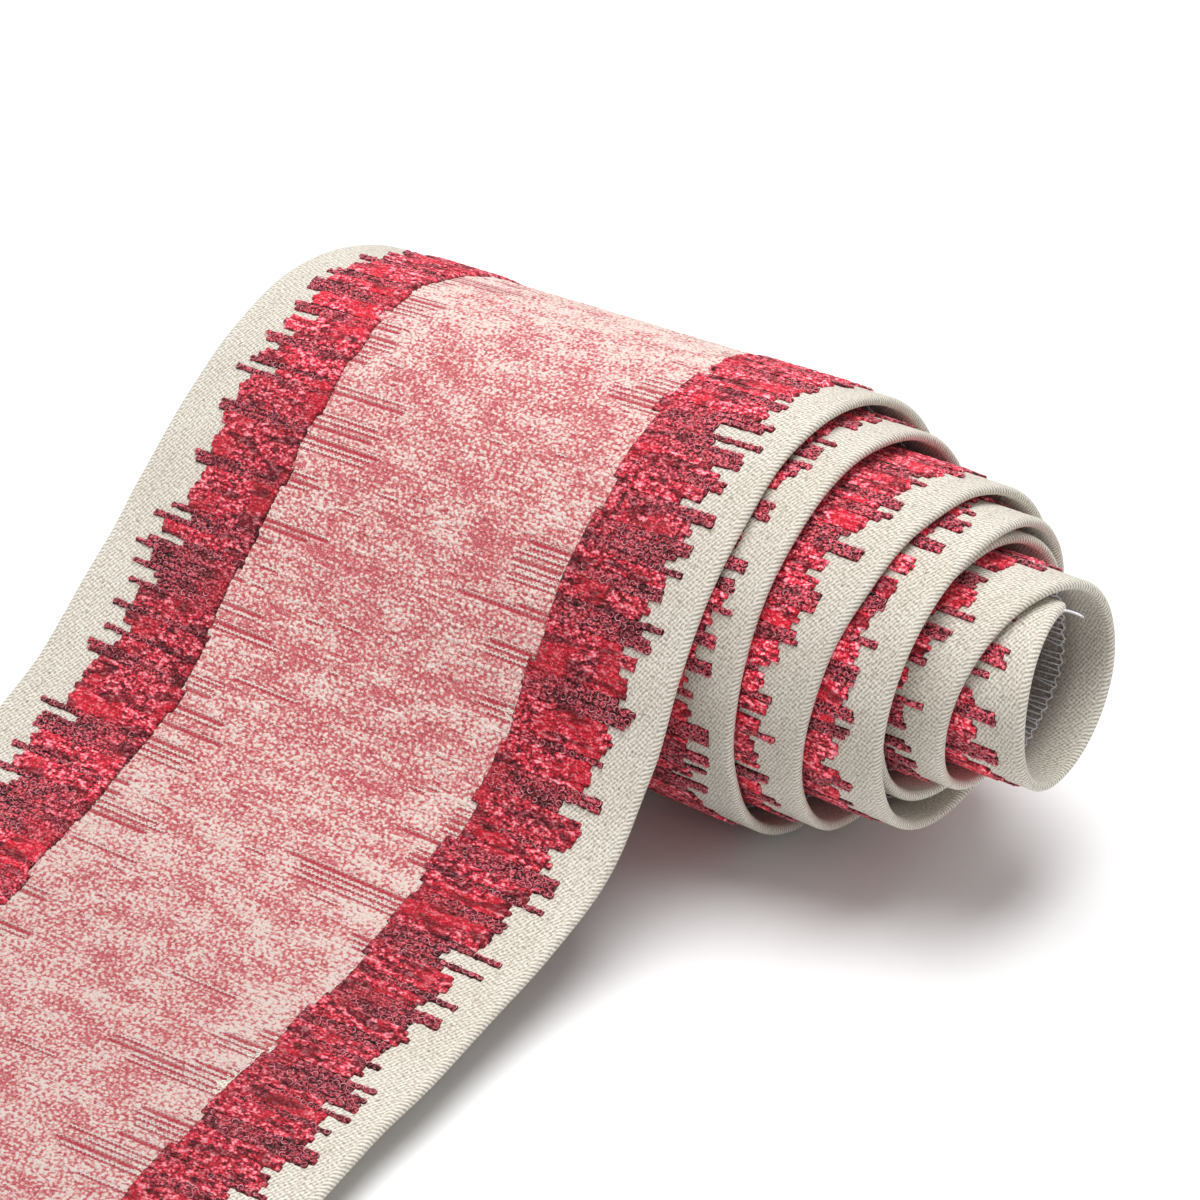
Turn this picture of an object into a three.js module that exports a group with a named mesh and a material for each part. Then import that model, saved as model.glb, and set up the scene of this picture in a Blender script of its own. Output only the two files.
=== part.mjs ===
// Roll of woven tape trim lying on its side, its inner turns pulled out to the right.
// Millimetres, Z up. X runs along the roll, the loose end comes down toward minus Y.
import * as THREE from 'three';

const tapeWidth = 102;
const patternFace = 0.8;
const plainBack = 0.8;
const hemBack = 1.2;
const hemWidth = 12;
const hemSlope = 1.1;
const foldRadius = 1.0;

// The roll's centre line, and how much it climbs with each turn inward.
const axisHeight = 33.8;
const climbPerTurn = 1.2;

// The wound part starts at the roll's top and ends at the tape's hidden inner end.
const woundStart = 116;
const woundEnd = 2262;
const woundStep = 10;

// The outer turn's left edge lags behind its right edge where the loose end leaves.
const leftLag = 10;
const lagFades = 200;
const lagLength = 140;

// The hollow left end has sunk a little and spread sideways.
const sinkFrom = 55;
const sinkLength = 105;
const sinkShare = 0.055;
const spreadShare = 0.022;

const looseStepsPerRow = 3;

// Radius to the middle of the cloth, a row for each turn from the loose end inward.
const turnRadius = [
  { near: 34.7, top: 36.3, far: 36.4, under: 34.6 },
  { near: 31.2, top: 31.9, far: 32.3, under: 31.0 },
  { near: 28.3, top: 27.1, far: 28.2, under: 26.4 },
  { near: 25.3, top: 23.2, far: 24.2, under: 22.9 },
  { near: 22.3, top: 19.3, far: 20.8, under: 19.8 },
  { near: 18.4, top: 15.0, far: 16.0, under: 16.6 },
  { near: 14.6, top: 11.2, far: 10.0, under: 8.6 },
];

// Where the right hand edge stands along the roll, at the same places.
const turnShift = [
  { near: 50.0, top: 51.1, far: 52.1, under: 54.3 },
  { near: 57.1, top: 58.4, far: 59.8, under: 63.1 },
  { near: 67.7, top: 73.3, far: 76.6, under: 77.4 },
  { near: 78.8, top: 80.8, far: 80.2, under: 77.3 },
  { near: 76.9, top: 79.6, far: 82.2, under: 83.3 },
  { near: 85.4, top: 90.2, far: 94.0, under: 95.7 },
  { near: 95.8, top: 92.4, far: 91.4, under: 92.0 },
];

// The loose end's two edges, a row for each section from its cut up to the roll's top.
const looseEnd = [
  { rightX: 59.0, rightY: -169.2, rightZ: 1.2, leftX: -42.1, leftY: -182.7, leftZ: 1.2 },
  { rightX: 57.0, rightY: -154.5, rightZ: 1.2, leftX: -44.1, leftY: -167.6, leftZ: 1.2 },
  { rightX: 55.2, rightY: -140.1, rightZ: 2.4, leftX: -46.1, leftY: -152.4, leftZ: 1.5 },
  { rightX: 53.6, rightY: -125.9, rightZ: 5.0, leftX: -47.8, leftY: -137.1, leftZ: 2.2 },
  { rightX: 52.5, rightY: -111.6, rightZ: 7.0, leftX: -49.0, leftY: -121.9, leftZ: 3.9 },
  { rightX: 51.8, rightY: -97.0, rightZ: 7.9, leftX: -49.7, leftY: -107.1, leftZ: 7.0 },
  { rightX: 51.0, rightY: -82.1, rightZ: 9.4, leftX: -50.4, leftY: -92.9, leftZ: 11.9 },
  { rightX: 50.8, rightY: -67.0, rightZ: 12.3, leftX: -50.2, leftY: -79.7, leftZ: 18.5 },
  { rightX: 51.2, rightY: -53.5, rightZ: 18.3, leftX: -49.7, leftY: -67.2, leftZ: 26.5 },
  { rightX: 50.9, rightY: -43.5, rightZ: 29.4, leftX: -50.3, leftY: -55.2, leftZ: 35.4 },
  { rightX: 50.6, rightY: -35.9, rightZ: 43.1, leftX: -51.1, leftY: -43.1, leftZ: 44.7 },
  { rightX: 50.6, rightY: -26.9, rightZ: 56.1, leftX: -51.3, leftY: -31.0, leftZ: 54.3 },
  { rightX: 50.7, rightY: -14.5, rightZ: 66.0, leftX: -51.2, leftY: -18.1, leftZ: 62.8 },
  { rightX: 51.0, rightY: 0.5, rightZ: 70.5, leftX: -50.9, leftY: -3.7, leftZ: 67.1 },
];

// The cloth across its width, from the right hand fold to the left hand fold.
const acrossTape = [
  { across: foldRadius, face: patternFace, back: hemBack },
  { across: hemWidth, face: patternFace, back: hemBack },
  { across: hemWidth + hemSlope, face: patternFace, back: plainBack },
  { across: tapeWidth / 2, face: patternFace, back: plainBack },
  { across: tapeWidth - hemWidth - hemSlope, face: patternFace, back: plainBack },
  { across: tapeWidth - hemWidth, face: patternFace, back: hemBack },
  { across: tapeWidth - foldRadius, face: patternFace, back: hemBack },
];
const foldMiddle = (patternFace - hemBack) / 2;

// A smooth curve through four values, share running from the second to the third.
function blend(before, start, end, after, share) {
  const slopeIn = (end - before) / 2;
  const slopeOut = (after - start) / 2;
  const squared = share * share;
  const cubed = squared * share;
  return start * (2 * cubed - 3 * squared + 1) + slopeIn * (cubed - 2 * squared + share)
    + end * (3 * squared - 2 * cubed) + slopeOut * (cubed - squared);
}

function smoothAt(values, position) {
  const last = values.length - 1;
  const index = Math.min(Math.max(Math.floor(position), 0), last - 1);
  const before = values[Math.max(index - 1, 0)];
  const after = values[Math.min(index + 2, last)];
  return blend(before, values[index], values[index + 1], after, position - index);
}

function quarterValues(table) {
  return table.flatMap((row) => [row.near, row.top, row.far, row.under]);
}

const radii = quarterValues(turnRadius);
const shifts = quarterValues(turnShift);

function easedShare(value) {
  const share = Math.min(Math.max(value, 0), 1);
  return share * share * (3 - 2 * share);
}

function sunk(x, y, z) {
  const depth = Math.min(Math.max((sinkFrom - x) / sinkLength, 0), 1.3);
  const share = depth * depth;
  const height = Math.max(z * (1 - sinkShare * share), patternFace);
  return new THREE.Vector3(x, y * (1 + spreadShare * share), height);
}

// One edge of the wound part, angle counted in degrees inward from the near side.
function woundEdge(angle, isLeft) {
  const lag = isLeft ? leftLag * easedShare((lagFades - angle) / lagLength) : 0;
  const place = (angle - lag) / 90;
  const radius = smoothAt(radii, place);
  const turned = THREE.MathUtils.degToRad(angle - lag);
  const height = axisHeight + climbPerTurn * (place / 4);
  const x = smoothAt(shifts, angle / 90) - (isLeft ? tapeWidth : 0);
  return sunk(x, -radius * Math.cos(turned), height + radius * Math.sin(turned));
}

function woundSection(angle) {
  return { right: woundEdge(angle, false), left: woundEdge(angle, true) };
}

function looseRow(row) {
  return {
    right: new THREE.Vector3(row.rightX, row.rightY, row.rightZ),
    left: new THREE.Vector3(row.leftX, row.leftY, row.leftZ),
  };
}

function blendedEdge(rows, index, share, edge) {
  const last = rows.length - 1;
  const before = rows[Math.max(index - 1, 0)][edge];
  const after = rows[Math.min(index + 2, last)][edge];
  const start = rows[index][edge];
  const end = rows[index + 1][edge];
  const x = blend(before.x, start.x, end.x, after.x, share);
  const y = blend(before.y, start.y, end.y, after.y, share);
  const z = blend(before.z, start.z, end.z, after.z, share);
  return new THREE.Vector3(x, y, Math.max(z, hemBack));
}

// Straight lines across the tape, from the loose end's cut to the inner end.
function tapeSections() {
  const rows = looseEnd.map(looseRow);
  rows.push(woundSection(woundStart));
  rows.push(woundSection(woundStart + 26));
  const sections = [];
  for (let index = 0; index < looseEnd.length; index += 1) {
    for (let step = 0; step < looseStepsPerRow; step += 1) {
      const share = step / looseStepsPerRow;
      sections.push({
        right: blendedEdge(rows, index, share, 'right'),
        left: blendedEdge(rows, index, share, 'left'),
      });
    }
  }
  const woundCount = Math.round((woundEnd - woundStart) / woundStep);
  for (let step = 0; step <= woundCount; step += 1) {
    sections.push(woundSection(woundStart + (woundEnd - woundStart) * (step / woundCount)));
  }
  return sections;
}

function pointAcross(section, across) {
  return section.right.clone().lerp(section.left, across / tapeWidth);
}

// A point on the cloth, lifted from its middle toward the patterned face.
function liftedPoint(sections, index, across, lift) {
  const here = pointAcross(sections[index], across);
  const before = pointAcross(sections[Math.max(index - 1, 0)], across);
  const after = pointAcross(sections[Math.min(index + 1, sections.length - 1)], across);
  const along = after.sub(before);
  const sideways = sections[index].left.clone().sub(sections[index].right);
  const outward = along.cross(sideways).normalize();
  const point = here.addScaledVector(outward, lift);
  if (point.z < 0.08) {
    point.z = 0;
  }
  return point;
}

// One closed ring round the cloth: the face from right to left, then the back.
function sectionRing(sections, index) {
  const ring = [liftedPoint(sections, index, 0, foldMiddle)];
  for (const column of acrossTape) {
    ring.push(liftedPoint(sections, index, column.across, column.face));
  }
  ring.push(liftedPoint(sections, index, tapeWidth, foldMiddle));
  for (const column of [...acrossTape].reverse()) {
    ring.push(liftedPoint(sections, index, column.across, -column.back));
  }
  return ring;
}

function clothGeometry(sections) {
  const ringSize = 2 * acrossTape.length + 2;
  const positions = [];
  const faces = [];
  for (let index = 0; index < sections.length; index += 1) {
    for (const point of sectionRing(sections, index)) {
      positions.push(point.x, point.y, point.z);
    }
  }
  for (let index = 0; index < sections.length - 1; index += 1) {
    for (let side = 0; side < ringSize; side += 1) {
      const here = index * ringSize + side;
      const beside = index * ringSize + ((side + 1) % ringSize);
      faces.push(here, here + ringSize, beside);
      faces.push(beside, here + ringSize, beside + ringSize);
    }
  }
  const lastRing = (sections.length - 1) * ringSize;
  for (let side = 0; side < ringSize / 2; side += 1) {
    const facing = (ringSize - side) % ringSize;
    const nextFacing = ringSize - side - 1;
    if (side > 0) {
      faces.push(side, side + 1, facing);
      faces.push(lastRing + side, lastRing + facing, lastRing + side + 1);
    }
    if (nextFacing !== side + 1) {
      faces.push(facing, side + 1, nextFacing);
      faces.push(lastRing + facing, lastRing + nextFacing, lastRing + side + 1);
    }
  }
  const geometry = new THREE.BufferGeometry();
  geometry.setAttribute('position', new THREE.Float32BufferAttribute(positions, 3));
  geometry.setIndex(faces);
  geometry.computeVertexNormals();
  return geometry;
}

const clothMaterial = new THREE.MeshStandardMaterial({ color: 0xc4506a, roughness: 0.9 });
const tapeRoll = new THREE.Mesh(clothGeometry(tapeSections()), clothMaterial);
tapeRoll.name = 'tape_roll';

const part = new THREE.Group();
part.name = 'roll_of_tape_trim';
part.add(tapeRoll);

export default part;
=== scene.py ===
import math

import bpy
import numpy as np
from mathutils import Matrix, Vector


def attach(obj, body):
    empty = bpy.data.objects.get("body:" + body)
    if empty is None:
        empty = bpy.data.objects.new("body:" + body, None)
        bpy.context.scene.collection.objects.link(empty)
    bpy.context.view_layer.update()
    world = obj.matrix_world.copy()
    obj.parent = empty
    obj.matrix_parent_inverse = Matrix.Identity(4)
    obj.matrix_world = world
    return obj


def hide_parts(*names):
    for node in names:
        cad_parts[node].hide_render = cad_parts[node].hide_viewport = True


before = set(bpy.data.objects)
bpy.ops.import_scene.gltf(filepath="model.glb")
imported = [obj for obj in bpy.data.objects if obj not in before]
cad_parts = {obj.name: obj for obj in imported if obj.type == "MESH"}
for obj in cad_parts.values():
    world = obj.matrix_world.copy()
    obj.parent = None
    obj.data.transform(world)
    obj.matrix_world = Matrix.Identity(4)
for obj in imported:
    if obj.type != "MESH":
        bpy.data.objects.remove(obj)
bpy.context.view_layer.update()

# Sizes below are millimetres, and become metres where a mesh is made.
# The tape lies along a path of straight lines across its width, from the loose end's
# cut, over the roll's top and inward round the spiral to the tucked in inner end.

tape = {
    "width": 102.0,
    "axisHeight": 33.8, "climbPerTurn": 1.2,
    "woundStart": 116.0, "woundEnd": 2262.0,      # degrees, counted inward from the near side
    # the outer turn's left edge lags behind, and the hollow left end has sunk and spread
    "leftLag": 10.0, "lagFades": 200.0, "lagLength": 140.0,
    "sinkFrom": 55.0, "sinkLength": 105.0, "sinkShare": 0.055, "spreadShare": 0.022,
    "lowest": 0.8, "looseLowest": 1.2,            # the cloth's middle never lies below these
    "loosePerRow": 24, "step": 0.25,              # spacing of the path's own table
    "slopeReach": 8,                              # steps each way over which its slope is smoothed
}

centre = tape["width"] / 2

# middle of the cloth from the roll's axis: near side, top, far side, underneath
turnRadius = [
    (34.7, 36.3, 36.4, 34.6), (31.2, 31.9, 32.3, 31.0), (28.3, 27.1, 28.2, 26.4),
    (25.3, 23.2, 24.2, 22.9), (22.3, 19.3, 20.8, 19.8), (18.4, 15.0, 16.0, 16.6),
    (14.6, 11.2, 10.0, 8.6),
]
# where the right hand edge stands along the roll, at the same places
turnShift = [
    (50.0, 51.1, 52.1, 54.3), (57.1, 58.4, 59.8, 63.1), (67.7, 73.3, 76.6, 77.4),
    (78.8, 80.8, 80.2, 77.3), (76.9, 79.6, 82.2, 83.3), (85.4, 90.2, 94.0, 95.7),
    (95.8, 92.4, 91.4, 92.0),
]
# right edge x, y, z and left edge x, y, z, from the cut up to the roll's top
looseEnd = [
    (59.0, -169.2, 1.2, -42.1, -182.7, 1.2), (57.0, -154.5, 1.2, -44.1, -167.6, 1.2),
    (55.2, -140.1, 2.4, -46.1, -152.4, 1.5), (53.6, -125.9, 5.0, -47.8, -137.1, 2.2),
    (52.5, -111.6, 7.0, -49.0, -121.9, 3.9), (51.8, -97.0, 7.9, -49.7, -107.1, 7.0),
    (51.0, -82.1, 9.4, -50.4, -92.9, 11.9), (50.8, -67.0, 12.3, -50.2, -79.7, 18.5),
    (51.2, -53.5, 18.3, -49.7, -67.2, 26.5), (50.9, -43.5, 29.4, -50.3, -55.2, 35.4),
    (50.6, -35.9, 43.1, -51.1, -43.1, 44.7), (50.6, -26.9, 56.1, -51.3, -31.0, 54.3),
    (50.7, -14.5, 66.0, -51.2, -18.1, 62.8), (51.0, 0.5, 70.5, -50.9, -3.7, 67.1),
]


def curveThrough(values, place):                  # smooth curve through evenly spaced values
    values = np.asarray(values, float)
    last = len(values) - 1
    index = np.clip(np.floor(place).astype(int), 0, last - 1)
    share = place - index
    if values.ndim > 1:
        share = share[:, None]
    start, end = values[index], values[index + 1]
    slopeIn = (end - values[np.maximum(index - 1, 0)]) / 2
    slopeOut = (values[np.minimum(index + 2, last)] - start) / 2
    squared, cubed = share ** 2, share ** 3
    return (start * (2 * cubed - 3 * squared + 1) + slopeIn * (cubed - 2 * squared + share)
            + end * (3 * squared - 2 * cubed) + slopeOut * (cubed - squared))


def eased(value):
    share = np.clip(value, 0, 1)
    return share * share * (3 - 2 * share)


def woundEdge(angle, isLeft):
    lag = tape["leftLag"] * eased((tape["lagFades"] - angle) / tape["lagLength"]) if isLeft else 0
    turned = np.radians(angle - lag)
    radius = curveThrough(np.ravel(turnRadius), (angle - lag) / 90)
    x = curveThrough(np.ravel(turnShift), angle / 90) - (tape["width"] if isLeft else 0)
    y = -radius * np.cos(turned)
    z = tape["axisHeight"] + tape["climbPerTurn"] * (angle - lag) / 360 + radius * np.sin(turned)
    share = np.clip((tape["sinkFrom"] - x) / tape["sinkLength"], 0, 1.3) ** 2
    z = np.maximum(z * (1 - tape["sinkShare"] * share), tape["lowest"])
    return np.stack([x, y * (1 + tape["spreadShare"] * share), z], 1)


def tapePath():
    first = tape["woundStart"] + np.array([0, 26])       # leads the loose end into the roll
    known = np.vstack([looseEnd, np.hstack([woundEdge(first, False), woundEdge(first, True)])])
    loose = curveThrough(known, np.arange(0, len(looseEnd), 1 / tape["loosePerRow"]))
    loose[:, [2, 5]] = np.maximum(loose[:, [2, 5]], tape["looseLowest"])
    angle = np.arange(tape["woundStart"], tape["woundEnd"] + 0.5, 1.0)
    edges = np.vstack([loose, np.hstack([woundEdge(angle, False), woundEdge(angle, True)])])
    middle = (edges[:, :3] + edges[:, 3:]) / 2
    run = np.concatenate([[0], np.cumsum(np.linalg.norm(np.diff(middle, axis=0), axis=1))])
    along = np.arange(0, run[-1], tape["step"])
    even = np.stack([np.interp(along, run, column) for column in edges.T], 1)
    slope = np.gradient(even, axis=0)
    reach = tape["slopeReach"]
    window = np.hanning(2 * reach + 1) / np.hanning(2 * reach + 1).sum()
    padded = np.vstack([slope[:1].repeat(reach, 0), slope, slope[-1:].repeat(reach, 0)])
    slope = sum(part * padded[k:k + len(slope)] for k, part in enumerate(window))
    return {"edges": even, "slope": slope, "length": along[-1]}


path = tapePath()
tapeLength = path["length"]
print("tape path", round(tapeLength, 1), "mm long")


def onTape(across, along, lift):                  # a place on the cloth, in metres
    across, along, lift = np.broadcast_arrays(across, along, lift)
    shape = across.shape
    across, along, lift = (np.ravel(a).astype(float) for a in (across, along, lift))
    place = np.clip(along, 0, tapeLength) / tape["step"]
    index = np.minimum(place.astype(int), len(path["edges"]) - 2)
    share = (place - index)[:, None]
    edges = path["edges"][index] * (1 - share) + path["edges"][index + 1] * share
    slope = path["slope"][index] * (1 - share) + path["slope"][index + 1] * share
    side = (across / tape["width"])[:, None]
    forward = slope[:, :3] * (1 - side) + slope[:, 3:] * side
    outward = np.cross(forward, edges[:, 3:] - edges[:, :3])
    outward /= np.linalg.norm(outward, axis=1)[:, None]
    forward /= np.linalg.norm(forward, axis=1)[:, None]
    past = (along - np.clip(along, 0, tapeLength))[:, None]
    point = edges[:, :3] * (1 - side) + edges[:, 3:] * side
    point += outward * lift[:, None] + forward * past
    point[:, 2] = np.maximum(point[:, 2], 0)      # flat where it rests
    return (point / 1000).reshape(*shape, 3)


def buildMesh(name, points, faceSets, corners, values):
    mesh = bpy.data.meshes.new(name)
    points = np.ascontiguousarray(points, np.float32).reshape(-1, 3)
    counts = np.concatenate([np.full(len(f), f.shape[1]) for f in faceSets])
    starts = np.concatenate([[0], np.cumsum(counts)[:-1]]).astype(np.int32)
    order = np.concatenate([f.ravel() for f in faceSets]).astype(np.int32)
    mesh.vertices.add(len(points))
    mesh.vertices.foreach_set("co", points.ravel())
    mesh.loops.add(int(counts.sum()))
    mesh.loops.foreach_set("vertex_index", order)
    mesh.polygons.add(len(counts))
    mesh.polygons.foreach_set("loop_start", starts)
    mesh.polygons.foreach_set("use_smooth", np.ones(len(counts), bool))
    layer = mesh.uv_layers.new(name="weave")
    layer.data.foreach_set("uv", np.ascontiguousarray(corners, np.float32).ravel())
    for key, data in values.items():
        attribute = mesh.attributes.new(key, "FLOAT", "POINT")
        attribute.data.foreach_set("value", np.ravel(data).astype(np.float32))
    mesh.update(calc_edges=True)
    piece = bpy.data.objects.new(name, mesh)
    bpy.context.scene.collection.objects.link(piece)
    return piece


def gridFaces(lines, columns, closed=False):      # quads between lines that follow one another
    last = columns if closed else columns - 1
    i, j = np.meshgrid(np.arange(lines - 1), np.arange(last), indexing="ij")
    here, beside = i * columns + j, i * columns + (j + 1) % columns
    return np.stack([here, here + columns, beside + columns, beside], -1).reshape(-1, 4)


def cornersOf(faces, across, along):              # the chart's place of each corner of each face
    return np.stack([across.ravel()[faces.ravel()], along.ravel()[faces.ravel()]], -1)


def softNoise(seed, places, wavelength):          # smooth seeded values from -1 to 1
    dice = np.random.default_rng(seed)
    knots = dice.uniform(-1, 1, int(np.max(places) / wavelength) + 4)
    return curveThrough(knots, places / wavelength + 0.5)


# The chart of the rows: where each raised row starts and stops, and how it looks.

rows = {
    "pitch": 1.05,
    "rightTip": 5.2, "leftTip": 7.1,              # tooth tips from the tape's folds
    "tipSpread": 0.8, "drift": 0.25, "driftKept": 0.8,
    "lobe": (0.9, 3.0), "valley": (2.0, 7.2),     # how far behind the tips these end
    "lobeBend": 1.3,                              # how far a lobe's outer rows hang back
    "outermost": 3.9,                             # no tooth reaches over the seam
    "fingerRagged": 0.4, "lobeRagged": 0.2, "valleyRagged": 0.6,
    # how many rows wide each is, and how often
    "fingerRows": ((1, 2, 3), (0.40, 0.42, 0.18)),
    "lobeRows": ((2, 3, 4, 5), (0.30, 0.34, 0.20, 0.16)),
    "valleyRows": ((1, 2), (0.60, 0.40)),
    # from plush, 0, to looped, 1
    "fingerCurl": (0.7, 1.0), "lobeCurl": (0, 0.25), "valleyCurl": (0.1, 0.9),
    "follows": {                                  # what comes next, and how often the first of the two
        "finger": (("lobe", "valley"), 0.5),
        "lobe": (("finger", "valley"), 0.6),
        "valley": (("finger", "lobe"), 0.7),
    },
    "rightInner": 23.8, "leftInner": 25.4,        # where the crimson meets the pink
    "narrower": 2.0, "narrowFrom": 165.0,         # the left band narrows a little on the roll's top
    "narrowOver": 40.0,
    "innerStep": 0.6, "innerKept": 0.5, "innerRows": (2, 7),
    "before": 0.9, "after": 0.6,                  # bare cloth at the loose end's cut and at the inner end
    "seed": 41,
}
rowCount = int((tapeLength - rows["before"] - rows["after"]) / rows["pitch"])
rowAlong = rows["before"] + rows["pitch"] * (np.arange(rowCount) + 0.5)


def chartBand(seed, tipMiddle, innerMiddle):
    dice = np.random.default_rng(seed)
    tips, curls, inner = np.empty(rowCount), np.empty(rowCount), np.empty(rowCount)
    row, kind, drift = 0, "finger", 0.0
    while row < rowCount:
        drift = rows["driftKept"] * drift + dice.normal(0, rows["drift"])
        widths, chances = rows[kind + "Rows"]
        wide = dice.choice(widths, p=chances)
        if kind == "finger":                      # a few looped rows that reach out furthest
            ends = dice.normal(0, rows["tipSpread"]) + dice.normal(0, rows["fingerRagged"], wide)
            curl = dice.uniform(*rows["fingerCurl"])
        elif kind == "lobe":                      # a rounded clump of cut pile
            bend = (2 * (np.arange(wide) + 0.5) / wide - 1) ** 2
            ends = dice.uniform(*rows["lobe"]) + rows["lobeBend"] * bend
            ends = ends + dice.normal(0, rows["lobeRagged"], wide)
            curl = dice.uniform(*rows["lobeCurl"])
        else:                                     # a cream gap
            ends = dice.uniform(*rows["valley"]) + dice.normal(0, rows["valleyRagged"], wide)
            curl = dice.choice(rows["valleyCurl"])
        stop = min(row + wide, rowCount)
        tips[row:stop] = np.maximum(tipMiddle + drift + ends, rows["outermost"])[:stop - row]
        curls[row:stop] = curl
        row = stop
        nextKinds, firstShare = rows["follows"][kind]
        kind = nextKinds[0] if dice.random() < firstShare else nextKinds[1]
    row, level = 0, 0.0
    while row < rowCount:
        wide = dice.integers(*rows["innerRows"])
        level = rows["innerKept"] * level + dice.normal(0, rows["innerStep"])
        inner[row:row + wide] = innerMiddle[row:row + wide] + level
        row += wide
    return {"tip": tips, "inner": inner, "curl": curls}


narrowed = eased((rowAlong - rows["narrowFrom"]) / rows["narrowOver"])
leftInner = rows["leftInner"] - rows["narrower"] * narrowed
bands = {
    "right": chartBand(rows["seed"], rows["rightTip"], np.full(rowCount, rows["rightInner"])),
    "left": chartBand(rows["seed"] + 7, rows["leftTip"], leftInner),
}
print("row chart", rowCount, "rows")


# Tape cloth: a single closed sheet with its two edges folded under.

cloth = {
    "face": 0.45, "fieldFace": 0.3, "back": -0.75, "hemBack": -1.2,
    "hemWidth": 12.0, "fold": 0.82,
    "plainBackFrom": 8.0,                         # beyond this the back is greyer cloth, darkened with painted shade
    "step": 1.5,
    "edgeWobble": 0.2, "wobbleReach": 9.0, "rightWave": 9, "leftWave": 8,
    "ripple": 0.05, "rippleWave": 5,
    "seamAt": 3.8, "seamDepth": 0.05, "seamWidth": 0.5,
    "seed": 3,
}


def clothRing():                                  # once round the cloth: across and lift, and the run
    fold, face, field = cloth["fold"], cloth["face"], cloth["fieldFace"]
    back, hemBack, hem = cloth["back"], cloth["hemBack"], cloth["hemWidth"]
    middle, rise = (face + hemBack) / 2, (face - hemBack) / 2
    turns = np.radians(np.arange(90, 271, 22.5))
    foldPart = [(fold + fold * math.cos(t), middle + rise * math.sin(t)) for t in turns]
    facePart = [(a, face) for a in (2.2, 3.3, 3.8, 4.3, 6.5, 10, 15, 20)]
    facePart += [(a, field) for a in (27, 39)]
    backPart = [(a, hemBack) for a in (2.5, 5, 8.2, hem - 0.2)]
    backPart += [(hem + 0.1, hemBack + 0.08), (hem + 0.3, back - 0.06), (hem + 1.0, back)]
    backPart += [(a, back) for a in (22, 32, 42)]
    half = [(centre, back)] + backPart[::-1] + foldPart[::-1] + facePart
    other = [(tape["width"] - a, lift) for a, lift in half[:0:-1]]
    ring = np.array(half + [(centre, field)] + other)
    steps = np.linalg.norm(np.roll(ring, -1, 0) - ring, axis=1)
    run = np.concatenate([[0], np.cumsum(steps)])
    return ring, run - run[len(half)] + centre    # on the face the run is the way across


def buildCloth():
    ring, run = clothRing()
    sections = np.linspace(0, tapeLength, int(tapeLength / cloth["step"]) + 1)
    across = np.tile(ring[:, 0], (len(sections), 1))
    lift = np.tile(ring[:, 1], (len(sections), 1))
    fromEdge = np.minimum(across, tape["width"] - across)
    isBack = (lift < -0.4) & (fromEdge > cloth["plainBackFrom"])
    seam = np.exp(-((fromEdge - cloth["seamAt"]) / cloth["seamWidth"]) ** 2) * (lift > 0)
    lift = lift - cloth["seamDepth"] * seam       # the stitch line pulls in a little
    ripple = softNoise(cloth["seed"] + 2, sections, cloth["rippleWave"])[:, None]
    lift = lift + cloth["ripple"] * ripple * (lift > 0)
    rightWobble = softNoise(cloth["seed"], sections, cloth["rightWave"])[:, None]
    leftWobble = softNoise(cloth["seed"] + 1, sections, cloth["leftWave"])[:, None]
    nearRight = np.clip(1 - across / cloth["wobbleReach"], 0, 1)
    nearLeft = np.clip(1 - (tape["width"] - across) / cloth["wobbleReach"], 0, 1)
    across = across + cloth["edgeWobble"] * (nearRight * rightWobble + nearLeft * leftWobble)
    points = onTape(across, sections[:, None], lift)
    columns = len(ring)
    faces = gridFaces(len(sections), columns, closed=True)
    ends = np.array([np.arange(columns)[::-1], (len(sections) - 1) * columns + np.arange(columns)])
    i, j = np.meshgrid(np.arange(len(sections) - 1), np.arange(columns), indexing="ij")
    corners = np.stack([run[j], sections[i], run[j], sections[i + 1],
                        run[j + 1], sections[i + 1], run[j + 1], sections[i]], -1).reshape(-1, 2)
    endCorners = np.stack([np.concatenate([ring[::-1, 0], ring[:, 0]]),
                           np.concatenate([ring[::-1, 1], ring[:, 1] + tapeLength])], -1)
    corners = np.vstack([corners, endCorners])
    return buildMesh("tape_cloth", points, [faces, ends], corners, {"backSide": isBack})


tapeCloth = buildCloth()
print("cloth", len(tapeCloth.data.polygons), "faces")


def mirrored(across, isLeft):                     # the left band is charted from the left fold
    return tape["width"] - across if isLeft else across


# Crimson rows: cut pile and looped yarn standing on the cloth, a ridge for each row.

crimson = {
    "base": 0.3, "plushHeight": 0.70, "loopHeight": 0.52, "tipLighter": 0.2,
    # a row is made of pieces this long, coarser where the roll hides them
    "segmentAt": (0, 240, 250, 430, 440), "segment": (0.55, 0.55, 0.8, 0.8, 1.5),
    "halfWidth": 0.58, "lumps": 0.10, "seed": 77,
    "plushFill": 0.88, "loopFill": 0.50,          # how far the furrow between two rows is filled
    # painted light: lighter and darker stretches, brightest on the roll's top: how far along the tape,
    # and how bright there
    "rightPaintedLight": ((0, 90, 105, 168, 190), (0.94, 0.94, 1.04, 1.04, 1.65)),
    "leftPaintedLight": ((0, 105, 125, 166, 185), (1.3, 1.3, 1.0, 1.0, 1.55)),
    "across": (-1.0, -0.66, 0.0, 0.66, 1.0),      # the five points over a row
    "shoulder": 0.76, "endRise": 0.15, "endWidth": 0.8,
    "rough": 0.05, "uneven": 0.28, "shake": 0.06, "slant": 0.1,
    "squareEnd": 0.2,                             # so close to its end a tooth has its full height
    "curlFade": (1.25, 0.9),                      # the loops grow fewer toward the pink
}


def curlFade(share):                              # share runs from the tooth's tip to the pink
    most, loss = crimson["curlFade"]
    return most - loss * share


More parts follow.
